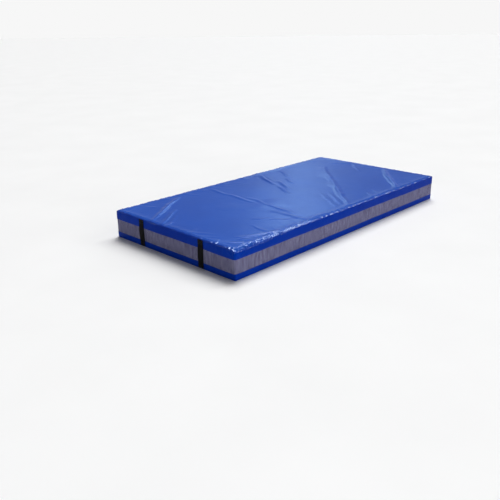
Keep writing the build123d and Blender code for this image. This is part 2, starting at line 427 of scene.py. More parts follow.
NICKEL = nickel()
COIL = coil_nylon()
SOFT_FOAM = foam("soft_foam", srgb(226, 220, 196), srgb(190, 180, 150))
FIRM_FOAM = foam("firm_foam", srgb(120, 124, 130), srgb(84, 88, 94))


def dress(piece, material, node=None):
    """Give a piece of the mat its material and slot, and hide the CAD node that it takes the place of."""
    piece.data.materials.append(material)
    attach(piece, "mat")
    if node:
        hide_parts(node)


def dress_sheet(piece, material, node):
    dress(piece, material, node)


# ---- The shape of the filled cover ----
# How far the sides stand out in the middle, how they swell and ripple, and the least that they stand out.
BULGE = 4.0 * MM
SIDE_SWELL = 1.3 * MM
SIDE_RIPPLE = 0.45 * MM
LEAST_OUT = 0.4 * MM
# Creases on a top band, and crumples within reach of the front left corner.
BAND_CREASE = 0.5 * MM
CRUMPLE = 4.2 * MM
FINE_CRUMPLE = 1.6 * MM
CRUMPLE_REACH = 110 * MM
# Tucks and puckers below the top seam: their size, and how far down they reach.
SIDE_TUCK = (1.5 * MM, 13 * MM)
SIDE_PUCKER = (3.0 * MM, 8 * MM)
PUCKER_PITCH = 17 * MM
# Depth and width of the grooves that the top seam and the upright corner seams pull in.
SEAM_GROOVE = (1.3 * MM, 2.2 * MM)
CORNER_GROOVE = (0.9 * MM, 1.6 * MM)
CORNER_SEAM = 0.29 * CORNER_R
# How far the top seam sags at the front left, and how it rises and falls elsewhere.
SEAM_SAG = 15 * MM
SEAM_RISE = 1.6 * MM
SEAM_TUCK = 0.6 * MM
SEAM_PUCKER = 1.0 * MM

long_swell = waves(11, 0.42)
short_swell = waves(12, 0.13)
band_creases = waves(13, 0.09, stretch=(1, 1, 4))
corner_creases = waves(14, 0.055, stretch=(1, 1, 1.6))
fine_creases = waves(18, 0.022)
seam_rise = waves(15, 0.17)
tucks = waves(16, 0.052)
fine_tucks = waves(17, 0.034)
pucker_wander = waves(26, 0.09)


def gather(size_and_reach, form, gap):
    """A form at a seam, brought to its size and dying away with the gap to the seam."""
    size, reach = size_and_reach
    return size * form * fade(gap, reach)


def groove(depth_and_width, gap):
    depth, width = depth_and_width
    return -depth * bell(gap, width)


def corner_distance(x, y):
    """How far a point of a side is from the nearest upright corner, along the side."""
    return np.maximum(HALF_X - np.abs(x), HALF_Y - np.abs(y))


def worn_corner(x, y, reach):
    """1 at the front left corner, which has been dropped and dragged most, fading with distance."""
    return fade(np.hypot(x + HALF_X, y + HALF_Y), reach)


def tuck_size(x, y):
    """How strongly the top seam is gathered: most at the front left corner, least along the back."""
    return 0.55 + 0.9 * worn_corner(x, y, 0.35) + 0.25 * crest(seam_rise(x, y), 2.0)


def puckered(x, y):
    """How much the stitching draws up the top seam: most in the left quarter of the front side."""
    along = x + HALF_X
    front_left = smooth_step(along, 0.04, 0.10) * (1 - smooth_step(along, 0.50, 0.95))
    return 0.25 + 0.75 * front_left * bell(y + HALF_Y, 0.05)


def puckers(x, y):
    """Rounded puckers along a seam, from -0.5 between them to 0.5 on their crests."""
    return 0.5 * np.cos(2 * math.pi / PUCKER_PITCH * (x + y) + 1.5 * pucker_wander(x, y))


def seam_sag(x, y):
    """How far the front seam has slipped down the side, from the front left corner on."""
    return SEAM_SAG * (1 - smooth_step(x + HALF_X, 0.20, 0.64)) * bell(y + HALF_Y, 0.04)


def by_zipper_end(x, y, z):
    """Where the cover is sewn flat beside the ends of the zipper, so that the pull tab passes over it."""
    on_back = smooth_step(y, HALF_Y - 0.02, HALF_Y - 0.01)
    return on_back * bell(np.abs(x) - ZIP_END, 0.04) * bell(z - ZIP_Z, 0.03)


def side_out(x, y, z):
    """How far the cover's side stands out from the flat side of the frame."""
    belly = np.sin(math.pi * np.clip(z / HEIGHT, 0, 1)) ** 0.7
    out = BULGE * belly * (1 - 0.8 * fade(corner_distance(x, y), 0.05))
    out = out + SIDE_SWELL * long_swell(x, y, 0.6 * z) * belly
    out = soft_floor(out + SIDE_RIPPLE * short_swell(x, y, z), LEAST_OUT, 0.3 * MM)
    on_band = smooth_step(z, BAND_EDGE - 4 * MM, BAND_EDGE + 12 * MM)
    out = out + BAND_CREASE * crest(band_creases(x, y, z), 3) * on_band
    crumple = CRUMPLE * crest(corner_creases(x, y, z), 2.4)
    crumple = crumple + FINE_CRUMPLE * crest(fine_creases(x, y, z), 2.4)
    out = out + on_band * worn_corner(x, y, CRUMPLE_REACH) * crumple
    gap = np.abs(TOP_SEAM - z)
    out = out + gather(SIDE_TUCK, tuck_size(x, y) * (crest(tucks(x, y), 2.5) - 0.35), gap)
    out = out + gather(SIDE_PUCKER, puckered(x, y) * puckers(x, y), gap)
    out = out + groove(SEAM_GROOVE, gap) + groove(CORNER_GROOVE, corner_distance(x, y) - CORNER_SEAM)
    return out * (1 - 0.85 * by_zipper_end(x, y, z))


def seam_lift(x, y):
    """How far the top seam rises and falls."""
    rise = SEAM_RISE * seam_rise(x, y) + SEAM_TUCK * tuck_size(x, y) * fine_tucks(x, y)
    return rise + SEAM_PUCKER * puckered(x, y) * puckers(x, y) - seam_sag(x, y)


# ---- Bands and mesh on the sides ----
HEM_WIDTH = 11 * MM
HEM_STITCH = 7 * MM
# A hem's edge, and whether its band is above it (1) or below it (-1).
HEMS = {"top": (BAND_EDGE, 1), "lower": (LOWER_EDGE, -1)}
# Rows of points over a band's hem, and towards its seam.
HEM_ROWS = np.array([0, 0.8, 1.8, 3.2, 4.6, 5.6, 6.4, 7.0, 7.6, 8.4, 9.5, 10.5, 11.5, 13]) * MM
SEAM_ROWS = np.array([0, 1.2, 2.6, 4.2, 6.2]) * MM


def outline(side, along):
    """The mat's rounded outline at distances along a side from its middle: x, y and the outward normal."""
    axis, outward, half, reach = SIDES[side]
    straight = half - CORNER_R
    turn = np.clip((np.abs(along) - straight) / CORNER_R, 0, None)
    forward = np.sign(along) * np.where(turn > 0, straight + CORNER_R * np.sin(turn), np.abs(along))
    back_in = CORNER_R * (1 - np.cos(turn))
    place = [axis[k] * forward + outward[k] * (reach - back_in) for k in (0, 1)]
    normal = [axis[k] * np.sign(along) * np.sin(turn) + outward[k] * np.cos(turn) for k in (0, 1)]
    return *place, *normal


def mitre(half):
    """How far along a side its mitre is: half the side and half of its rounded corner."""
    return half - CORNER_R + CORNER_R * math.pi / 4


def side_columns(side, spacing):
    """Distances along a side, from one mitre to the other, closer together around the corners."""
    end = mitre(SIDES[side][2])
    return graded(-end, end, 1.3 * MM, spacing, 13 * MM)


def skin_points(side, along, z, layer):
    """A grid of points on the cover's side, layer behind its outer face, that follows the top seam's rise."""
    x, y, nx, ny = (value[None, :] for value in outline(side, along))
    height = z[:, None] + 0 * x
    out = side_out(x, y, height) - layer
    lift = seam_lift(x, y) * smooth_step(height, BAND_EDGE + 10 * MM, TOP_SEAM)
    return stack(x + nx * out, y + ny * out, height + lift)


def skin_piece(name, side, along, z, layer, thickness):
    piece = grid_piece(name, skin_points(side, along, z, layer), stack(along[None, :], z[:, None]))
    solidify(piece, thickness)
    return piece


def hem_profile(z, edge, up):
    """A folded hem: thicker next to its edge, pulled in along the stitching."""
    inside = (z - edge) * up
    thick = 0.7 * MM * (1 - smooth_step(inside, HEM_WIDTH - 1.5 * MM, HEM_WIDTH))
    return thick - 0.6 * MM * bell(inside - HEM_STITCH, 1.3 * MM)


def band_heights(low, high, hem_at_low):
    """Rows of a band: close together over its hem and at its seam."""
    inner = np.arange(16.5 * MM, high - low - SEAM_ROWS[-1] - 2 * MM, 3.6 * MM)
    inside = np.concatenate([HEM_ROWS, inner, (high - low - SEAM_ROWS)[::-1]])
    return low + inside if hem_at_low else (high - inside)[::-1]


def make_band(side, node, low, high, hem_at_low):
    along = side_columns(side, 2.8 * MM if hem_at_low else 5 * MM)
    z = band_heights(low, high, hem_at_low)
    edge, up = (low, 1) if hem_at_low else (high, -1)
    band = skin_piece(node + "_vinyl", side, along, z, -hem_profile(z, edge, up)[:, None], SHEET_T)
    dress_sheet(band, SHADED_VINYL_SIDE, node)


def make_mesh_panel(side):
    node = f"mesh_panel_{side}"
    low = BACK_MESH_LOW if side == "back" else MESH_LOW
    along = side_columns(side, 6 * MM)
    z = np.linspace(low, MESH_HIGH, 22)
    panel = skin_piece(node + "_net", side, along, z, SHEET_T + 0.2 * MM, MESH_DEPTH)
    dress_sheet(panel, AIR_MESH, node)


# ---- Top sheet ----
# Folds in the top sheet, in millimetres: points from the front left corner, the height, the width on the
# gentle side and the width on the steep side, to the right of the direction of travel.
FOLDS = [
    ([(1190, 0), (1300, 110), (1430, 260), (1610, 430), (1820, 650), (2000, 850), (2120, 930)], 6.5, 54, 24),
    ([(1120, 30), (1170, 140), (1240, 240), (1330, 360), (1400, 440)], 2.3, 28, 24),
    ([(1150, 20), (1250, 140), (1340, 270), (1420, 370)], 1.9, 20, 18),
    ([(1860, 0), (1980, 100), (2100, 220), (2250, 350), (2370, 440)], 9.6, 38, 14),
    ([(520, 1130), (454, 1095), (315, 1012), (203, 928), (66, 844), (-10, 800)], 7.2, 15, 20),
    ([(300, 900), (225, 847), (162, 805), (71, 745), (0, 700)], 4.6, 12, 18),
    ([(220, 790), (140, 730), (50, 670)], 1.8, 10, 14),
    ([(740, 0), (747, 80), (745, 140), (749, 200), (748, 250), (735, 300), (745, 370)], 2.2, 24, 15),
    ([(830, 250), (807, 320), (812, 370), (828, 440), (840, 480)], 1.8, 20, 14),
    ([(800, 480), (820, 515), (870, 600), (877, 650)], 1.8, 18, 12),
    ([(800, 640), (815, 730), (840, 860), (820, 940), (855, 1080), (860, 1170)], 1.8, 18, 12),
    ([(580, 250), (620, 190), (670, 150), (740, 110)], 1.8, 10, 8),
    ([(1310, 840), (1370, 976), (1460, 1130)], 4.6, 20, 10),
    ([(1280, 640), (1357, 777), (1420, 890)], 3.8, 18, 9),
    ([(1170, 560), (1200, 613), (1260, 713), (1290, 780)], 2.8, 15, 9),
    ([(1445, 720), (1460, 800), (1530, 900)], 3.0, 15, 9),
    ([(1580, 930), (1660, 1020), (1700, 1120)], 3.0, 14, 9),
    ([(150, 160), (220, 125), (290, 94), (350, 70), (400, 46), (440, 12), (470, -30), (500, -80)],
     6.4, 11, 14),
    ([(160, 140), (220, 100), (280, 66), (340, 45)], 2.2, 6, 6),
    ([(50, 135), (104, 86), (151, 48), (185, 10), (200, -20), (210, -50)], 3.8, 8, 9),
    ([(90, 56), (125, 24), (155, 12), (210, 8), (245, -10)], 3.0, 6, 6),
    ([(20, 60), (50, 42), (90, 22), (126, 0), (150, -30)], 3.0, 7, 7),
    ([(65, 58), (92, 24), (115, 4)], 2.4, 5, 5),
    ([(420, 240), (385, 170), (380, 120), (400, 80)], 1.8, 12, 10),
    ([(510, 340), (560, 280), (600, 250)], 1.4, 12, 10),
    ([(1520, 20), (1570, 70), (1600, 120)], 2.8, 12, 8),
    ([(1620, 10), (1660, 70), (1700, 140)], 2.4, 12, 8),
    ([(2180, 580), (2270, 690), (2400, 800)], 2.4, 26, 14),
    ([(2240, 980), (2330, 870), (2430, 800)], 2.6, 20, 12),
    ([(190, 1140), (200, 1100), (240, 1060)], 2.6, 10, 8),
    ([(0, 690), (40, 675), (90, 680)], 4.0, 9, 9),
    ([(-10, 175), (30, 182), (70, 205)], 3.8, 9, 8),
    ([(0, 420), (50, 430), (120, 470)], 2.2, 12, 10),
]
# Where the front seam's stitches pull hardest, in millimetres from the front left corner; how hard and far.
SEAM_SPOTS = (482, 503, 537, 614, 675, 725, 850, 954, 1018, 1080, 1182, 1387, 1545, 1686, 1884)
SPOT_GROOVE = (4.0 * MM, 17 * MM)
SPOT_REACH = 13 * MM
# How high the filled cover is crowned, and how it swells and ripples.
CROWN = 4.5 * MM
LEAST_CROWN = 2.0 * MM
TOP_SWELL = 1.5 * MM
TOP_RIPPLE = 0.30 * MM
# Gathers at the seams: their size and how far in they reach. They slant, on the long and the short sides.
NARROW_TUCK = (2.6 * MM, 22 * MM)
WIDE_TUCK = (1.9 * MM, 55 * MM)
SCALLOP = (3.4 * MM, 75 * MM)
SEAM_PULL = (6.5 * MM, 15 * MM)
TOP_PUCKER = (4.8 * MM, 20 * MM)
SAG_REACH = 17 * MM
LONG_SLANT = 0.45
SHORT_SLANT = 0.4
# Star of creases at each corner: size and reach. The front left corner is worst, and pressed down too.
STAR = (3.0 * MM, 55 * MM)
WORST_STAR = (6.5 * MM, 60 * MM)
CORNER_DROP = (5 * MM, 40 * MM)
# The rolled rim of the flat sheet, where its rows and columns are closest together.
RIM = 16.5 * MM
RIM_STEP = 1.5 * MM

top_swell = waves(21, 0.50)
top_ripple = waves(22, 0.16)
fold_wander = waves(23, 0.11)
pinches = waves(24, 0.060)
star_turns = line_waves(25, 0.42)


def smooth_path(points):
    """Cut the corners off a run of points, three times, until it is a smooth path."""
    path = np.array(points, dtype=float)
    for _ in range(3):
        start, end = path[:-1], path[1:]
        cut = np.stack([0.75 * start + 0.25 * end, 0.25 * start + 0.75 * end], axis=1).reshape(-1, 2)
        path = np.concatenate([path[:1], cut, path[-1:]])
    return path


def fold_height(x, y, points, height, gentle, steep):
    """Height of one fold: a crest, with a long slope on one side and a short one to a trough on the other."""
    height, gentle, steep = height * MM, gentle * MM, steep * MM
    path = smooth_path(points) * MM - [HALF_X, HALF_Y]
    marks = marks_along(path)
    nearest = np.full(x.shape, np.inf)
    signed, progress = np.zeros((2,) + x.shape)
    for (x0, y0), (x1, y1), mark0, mark1 in zip(path[:-1], path[1:], marks[:-1], marks[1:]):
        dx, dy = x1 - x0, y1 - y0
        share = np.clip(((x - x0) * dx + (y - y0) * dy) / (dx * dx + dy * dy), 0, 1)
        gap_x, gap_y = x - x0 - share * dx, y - y0 - share * dy
        gap = np.hypot(gap_x, gap_y)
        closer = gap < nearest
        nearest = np.where(closer, gap, nearest)
        signed = np.where(closer, np.sign(gap_x * dy - gap_y * dx) * gap, signed)
        progress = np.where(closer, mark0 + share * (mark1 - mark0), progress)
    signed = signed + min(0.16 * gentle, 3.5 * MM) * fold_wander(x, y)
    slope = np.where(signed < 0, gentle, steep)
    crest_line = np.exp(-((np.abs(signed) / slope) ** 1.6))
    trough = 0.42 * bell(signed - 1.9 * steep, 1.5 * steep)
    run_out = np.sin(math.pi * np.clip(progress / marks[-1], 0, 1)) ** 0.55
    return height * run_out * (crest_line - trough)


def star(x, y, corner_x, corner_y, size, reach):
    """Creases that fan out of a corner, where the sheet's two seams meet."""
    away_x, away_y = x - corner_x, y - corner_y
    distance = np.hypot(away_x, away_y)
    turn = star_turns(np.arctan2(away_y, away_x) + 5 * corner_x + 3 * corner_y) + 0.5 * pinches(x, y)
    return size * (crest(turn, 2.4) - 0.3) * fade(distance, reach) * smooth_step(distance, 4 * MM, 30 * MM)


def gathered(x, y):
    """Tucks that run in from the four seams of the top sheet, and the long scallops between them."""
    total = np.zeros(x.shape)
    for edge_x, edge_y, gap, slant_x, slant_y in (
        (x, -HALF_Y, HALF_Y + y, LONG_SLANT, 0),
        (x, HALF_Y, HALF_Y - y, LONG_SLANT, 0),
        (-HALF_X, y, HALF_X + x, 0, SHORT_SLANT),
        (HALF_X, y, HALF_X - x, 0, SHORT_SLANT),
    ):
        at = edge_x - slant_x * gap, edge_y - slant_y * gap
        narrow = gather(NARROW_TUCK, crest(tucks(*at), 2.6) - 0.35, gap)
        wide = gather(WIDE_TUCK, crest(pinches(*at), 1.6) - 0.4, gap)
        total += tuck_size(*at) * (narrow + wide)
        total += gather(SCALLOP, crest(seam_rise(*at), 2.2), gap)
        total += gather(TOP_PUCKER, puckered(*at) * puckers(*at), gap)
        total -= gather(SEAM_PULL, 0.65 + 0.75 * crest(seam_rise(*at), 1.3) + 0.22 * tucks(*at), gap)
    front_gap, along = HALF_Y + y, x + HALF_X
    total -= seam_sag(x, -HALF_Y) * fade(front_gap, SAG_REACH) * smooth_step(along, -10 * MM, 30 * MM)
    for spot in SEAM_SPOTS:
        total += groove(SPOT_GROOVE, along - spot * MM) * fade(front_gap, SPOT_REACH)
    return total


def top_height(x, y):
    """How far the top sheet stands above the flat top of the frame."""
    across = (1 - (x / HALF_X) ** 4) * (1 - (y / HALF_Y) ** 4)
    height = CROWN * across + LEAST_CROWN
    height = height + TOP_SWELL * top_swell(x, y) * across + TOP_RIPPLE * top_ripple(x, y)
    for fold in FOLDS:
        height = height + fold_height(x, y, *fold)
    for corner_x in (-HALF_X, HALF_X):
        for corner_y in (-HALF_Y, HALF_Y):
            worst = corner_x < 0 and corner_y < 0
            height = height + star(x, y, corner_x, corner_y, *(WORST_STAR if worst else STAR))
    height = height + gathered(x, y) + groove(CORNER_DROP, np.hypot(x + HALF_X, y + HALF_Y))
    lowest = -0.6 * MM - (9 * MM + 1.1 * seam_sag(x, y)) * fade(edge_gap(x, y), SAG_REACH)
    return soft_floor(height, lowest, 0.5 * MM)


def edge_gap(x, y):
    """How far a point of the top is from the nearest side."""
    return np.minimum(HALF_X - np.abs(x), HALF_Y - np.abs(y))


def folded_over(flat_x, flat_y, roll_r):
    """Wrap flat cloth over the rounded rim: plan position, drop below the top, and the way outward."""
    core_x, core_y = HALF_X - CORNER_R, HALF_Y - CORNER_R
    over_x = np.clip(np.abs(flat_x) - core_x, 0, None)
    over_y = np.clip(np.abs(flat_y) - core_y, 0, None)
    distance = np.maximum(over_x, over_y)
    turn = math.pi / 4 * np.minimum(over_x, over_y) / np.where(distance > 0, distance, 1)
    angle = np.where(over_y > over_x, math.pi / 2 - turn, turn)
    way_x, way_y = np.sign(flat_x) * np.cos(angle), np.sign(flat_y) * np.sin(angle)
    flat_rim = CORNER_R - roll_r
    tilt = np.clip((distance - flat_rim) / roll_r, 0, math.pi / 2)
    skirt = np.clip(distance - flat_rim - roll_r * math.pi / 2, 0, None)
    reach = np.minimum(distance, flat_rim) + roll_r * np.sin(tilt)
    x = np.clip(flat_x, -core_x, core_x) + way_x * reach * (distance > 0)
    y = np.clip(flat_y, -core_y, core_y) + way_y * reach * (distance > 0)
    drop = roll_r * (1 - np.cos(tilt)) + skirt
    return x, y, drop, way_x, way_y


def flat_end(half, roll_r, skirt):
    """How far flat cloth reaches from its middle, so that it rolls over a rim and ends in a skirt."""
    return half - roll_r + roll_r * math.pi / 2 + skirt


def rim_to_rim(end, fine, coarse, fine_length):
    """Positions from rim to rim: finest over the rims, and fine over the first stretch of the top."""
    start = -end + RIM
    values = graded(-end, end, RIM_STEP, coarse, RIM)
    first = np.arange(start, start + fine_length, fine)
    return np.concatenate([values[values < start - TINY], first, values[values > first[-1] + 0.6 * coarse]])


# ---- Settling of the top sheet ----
SETTLE_FRAMES = 22
SETTLE_LIMIT = 7 * MM
SETTLE_INSET = 13 * MM
SETTLE_COLUMNS = 201
SETTLE_ROWS = 101
CLOTH = {
    "quality": 8, "mass": 0.25, "tension_stiffness": 60, "compression_stiffness": 60, "shear_stiffness": 30,
    "bending_stiffness": 12, "tension_damping": 10, "compression_damping": 10, "shear_damping": 10,
    "air_damping": 2, "vertex_group_mass": "seams", "shrink_min": -0.0008, "shrink_max": -0.0008,
}


def settle():
    """How far the top sheet moves as cloth that settles on the foam: a coarse copy, held at its seams."""
    x = np.linspace(-HALF_X + SETTLE_INSET, HALF_X - SETTLE_INSET, SETTLE_COLUMNS)
    y = np.linspace(-HALF_Y + SETTLE_INSET, HALF_Y - SETTLE_INSET, SETTLE_ROWS)
    grid_x, grid_y = np.meshgrid(x, y)
    start = stack(grid_x, grid_y, HEIGHT + top_height(grid_x, grid_y))
    sheet = grid_piece("settling_sheet", start, start[..., :2])
    index = np.arange(grid_x.size).reshape(grid_x.shape)
    border = np.concatenate([index[0], index[-1], index[:, 0], index[:, -1]])
    sheet.vertex_groups.new(name="seams").add(np.unique(border).tolist(), 1.0, "REPLACE")
    cloth = sheet.modifiers.new("Cloth", "CLOTH")
    for name, value in CLOTH.items():
        setattr(cloth.settings, name, value)
    cloth.settings.effector_weights.gravity = 0.25
    cloth.collision_settings.distance_min = 1 * MM
    foam_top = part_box("foam_landing_layer")[1][2]
    plane = np.array([[(-1, -1), (1, -1)], [(-1, 1), (1, 1)]]) * np.array([HALF_X, HALF_Y])
    base = grid_piece("settling_base", np.dstack([plane, np.full((2, 2), foam_top)]), plane)
    base.modifiers.new("Collision", "COLLISION")
    base.collision.thickness_outer = 0.5 * MM
    scene = bpy.context.scene
    cloth.point_cache.frame_start, cloth.point_cache.frame_end = 1, SETTLE_FRAMES
    for number in range(1, SETTLE_FRAMES + 1):
        scene.frame_set(number)
    settled = sheet.evaluated_get(bpy.context.evaluated_depsgraph_get()).data
    end = np.empty(start.size)
    settled.vertices.foreach_get("co", end)
    moved = end.reshape(start.shape) - start
    moved *= np.minimum(1, SETTLE_LIMIT / np.maximum(lengths(moved), TINY))
    scene.frame_set(1)
    for helper in (sheet, base):
        mesh = helper.data
        bpy.data.objects.remove(helper)
        bpy.data.meshes.remove(mesh)
    return x, y, moved


def cubic_weights(t):
    """Weights of four neighbours for a curve through the middle two."""
    return (-0.5 * t + t * t - 0.5 * t ** 3, 1 - 2.5 * t * t + 1.5 * t ** 3,
            0.5 * t + 2 * t * t - 1.5 * t ** 3, -0.5 * t * t + 0.5 * t ** 3)


def settled_shift(x, y):
    """The settling of the coarse copy at any plan position, smoothly read between its points."""
    grid_x, grid_y, moved = SETTLED
    column = np.clip((x - grid_x[0]) / (grid_x[1] - grid_x[0]), 0, len(grid_x) - 1.001)
    row = np.clip((y - grid_y[0]) / (grid_y[1] - grid_y[0]), 0, len(grid_y) - 1.001)
    i, j = np.floor(column).astype(int), np.floor(row).astype(int)
    u, v = (column - i)[..., None], (row - j)[..., None]
    total = 0
    for di, weight_u in zip((-1, 0, 1, 2), cubic_weights(u)):
        for dj, weight_v in zip((-1, 0, 1, 2), cubic_weights(v)):
            near = np.clip(j + dj, 0, len(grid_y) - 1), np.clip(i + di, 0, len(grid_x) - 1)
            total = total + weight_u * weight_v * moved[near]
    return total


SETTLED = settle()


def lay_sheet(name, points, flat, material, node):
    """A sheet of vinyl that is as wide and long as its flat grid."""
    dress_sheet(grid_piece(name, points, flat), material, node)


def make_top_sheet():
    """The top sheet rolls over the rim and goes down to its seam."""
    skirt = HEIGHT - TOP_ROLL_R - TOP_SEAM
    flat_x = rim_to_rim(flat_end(HALF_X, TOP_ROLL_R, skirt), 3.6 * MM, 8.2 * MM, 0.80)
    flat_y = rim_to_rim(flat_end(HALF_Y, TOP_ROLL_R, skirt), 3.8 * MM, 7.8 * MM, 0.20)
    flat_x, flat_y = np.meshgrid(flat_x, flat_y)
    x, y, drop, way_x, way_y = folded_over(flat_x, flat_y, TOP_ROLL_R)
    z = HEIGHT - drop
    seamward = smooth_step(drop, 0, HEIGHT - TOP_SEAM)
    out = side_out(x, y, z) * seamward
    rise = top_height(x, y) * (1 - seamward) + seam_lift(x, y) * seamward
    points = stack(x + way_x * out, y + way_y * out, z + rise)
    points += settled_shift(x, y) * (1 - seamward)[..., None]
    lay_sheet("top_sheet", points, stack(flat_x, flat_y), LIT_VINYL_TOP, "top_panel")


def make_bottom_sheet():
    """The bottom sheet lies flat on the floor and turns up to its seam."""
    ends = (flat_end(half, FLOOR_ROLL_R, FLOOR_SEAM - FLOOR_ROLL_R) for half in (HALF_X, HALF_Y))
    flat_x, flat_y = (graded(-end, end, RIM_STEP, 16 * MM, 13.5 * MM) for end in ends)
    flat_x, flat_y = np.meshgrid(flat_x, flat_y[::-1])
    x, y, drop, way_x, way_y = folded_over(flat_x, flat_y, FLOOR_ROLL_R)
    out = side_out(x, y, drop) * smooth_step(drop, 0, FLOOR_SEAM)
    points = stack(x + way_x * out, y + way_y * out, drop)
    lay_sheet("bottom_sheet", points, stack(flat_x, flat_y), SHADED_VINYL_SIDE, "bottom_panel")


# ---- Foam blocks ----
FOAM_EDGE_R = 12 * MM
FOAM_STEP = 12 * MM
FOAM_EDGE_STEP = 3 * MM
FOAM_EDGE = 15 * MM
# The foam stays this far under the top sheet, and further by the pull of the seams near the sides.
FOAM_GAP = 2.2 * MM
FOAM_PULL = 4 * MM
FOAM_PULL_REACH = 20 * MM
PRESSED_DEPTH = 30 * MM


def pressed(points):
    """Foam kept under the top sheet, whose seams pull its upper edges down."""
    x, y, z = points[..., 0], points[..., 1], points[..., 2]
    sheet = HEIGHT + top_height(x, y) + settled_shift(x, y)[..., 2]
    ceiling = sheet - FOAM_GAP - FOAM_PULL * fade(edge_gap(x, y), FOAM_PULL_REACH)
    return stack(x, y, np.where(z > HEIGHT - PRESSED_DEPTH, np.minimum(z, ceiling), z))


def make_foam(name, node, material):
    """A foam block: a closed box with rounded edges under the cover."""
    low, high = (np.array(corner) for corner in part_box(node))
    middle, half = middle_and_half(low, high)
    coarse = (FOAM_STEP, FOAM_STEP, 2.5 * FOAM_STEP)
    steps = [graded(low[k], high[k], FOAM_EDGE_STEP, coarse[k], FOAM_EDGE) - middle[k] for k in range(3)]
    vertices, faces = [], []
    for axis in range(3):
        a, b = (axis + 1) % 3, (axis + 2) % 3
        for sign in (-1, 1):
            grid_a, grid_b = np.meshgrid(steps[a], steps[b], indexing="ij")
            points = np.zeros(grid_a.shape + (3,))
            points[..., a], points[..., b], points[..., axis] = grid_a, grid_b, sign * half[axis]
            core = np.clip(points, -(half - FOAM_EDGE_R), half - FOAM_EDGE_R)
            away = points - core
            away *= FOAM_EDGE_R / np.maximum(lengths(away), FOAM_EDGE_R)
            quads = grid_faces(*grid_a.shape)[:, [0, 3, 2, 1]] + len(vertices)
            faces += quads[:, ::sign].tolist()
            vertices += pressed(core + away + middle).reshape(-1, 3).tolist()
    block = smooth_piece(name, vertices, faces)
    weld = block.modifiers.new("Weld", "WELD")
    weld.merge_threshold = 0.05 * MM
    dress(block, material, node)


# ---- Stitching ----
STITCH_L = 3.3 * MM
STITCH_PITCH = 4.6 * MM
STITCH_R = 0.42 * MM
STITCH_FLATNESS = 0.8
# A stitch's rings: their place along it, from -0.5 to 0.5, and their size.
STITCH_RINGS = ((-0.5, 0.25), (-0.3, 0.9), (0.3, 0.9), (0.5, 0.25))
STITCH_CORNERS = 4
# How far stitches stand out from what they are sewn into.
HEM_STITCH_OUT = 0.12 * MM
STRAP_STITCH_OUT = 0.15 * MM


def read_along(marks, values, at):
    """Rows of values, given at marks along a path, read at other places along it."""
    return stack(*(np.interp(at, marks, column) for column in values.T))


def stitches(name, paths):
    """Rows of thread stitches: each path is (points, normals), and each stitch is a small closed grain."""
    centres, along, up = [], [], []
    for points, normals in paths:
        marks = marks_along(points)
        at = np.arange(STITCH_PITCH / 2, marks[-1], STITCH_PITCH)
        ahead = np.minimum(at + STITCH_L / 2, marks[-1])
        centres.append(read_along(marks, points, at))
        along.append(unit(read_along(marks, points, ahead) - read_along(marks, points, ahead - STITCH_L)))
        up.append(unit(read_along(marks, normals, at)))
    centres, along, up = (np.concatenate(parts) for parts in (centres, along, up))
    across = np.cross(up, along)
    places = []
    for share, size in STITCH_RINGS:
        for c, s in around(STITCH_CORNERS):
            out = (across * c + up * s * STITCH_FLATNESS) * STITCH_R * size
            places.append(centres + along * STITCH_L * share + out)
    return beads(name, places, STITCH_CORNERS)


def hem_row(side, edge, up):
    """A row of stitches along the hem of a side's band, on its outer face."""
    along = side_columns(side, STITCH_PITCH)[1:-1]
    z = np.array([edge + up * HEM_STITCH])
    nx, ny = outline(side, along)[2:]
    points = skin_points(side, along, z, -hem_profile(z, edge, up)[0] - HEM_STITCH_OUT)[0]
    return points, stack(nx, ny, 0.0)


def make_hem_stitches():
    for name, hem in HEMS.items():
        rows = [hem_row(side, *hem) for side in SIDES]
        dress(stitches(name + "_hem_stitches", rows), BLUE_THREAD)


# ---- Webbing handles ----
STRAP_T = 1.7 * MM
STRAP_BOW = 3.2 * MM
# Lengths of the sewn ends, and how thick the raw ends are that are folded under.
SEWN_LOW = 29 * MM
SEWN_HIGH = 31 * MM
FOLDED_UNDER = 1.3 * MM
# The box stitching is this far inside the ends of the sewn part, and this wide on each side of the middle.
BOX_MARGIN = 4 * MM
BOX_HALF_WIDTH = 20 * MM
BOX_SHARE = 0.8
BOX_RUNS = (((-1, -1), (1, -1)), ((1, -1), (1, 1)), ((1, 1), (-1, 1)), ((-1, 1), (-1, -1)),
            ((-1, -1), (1, 1)), ((-1, 1), (1, -1)))


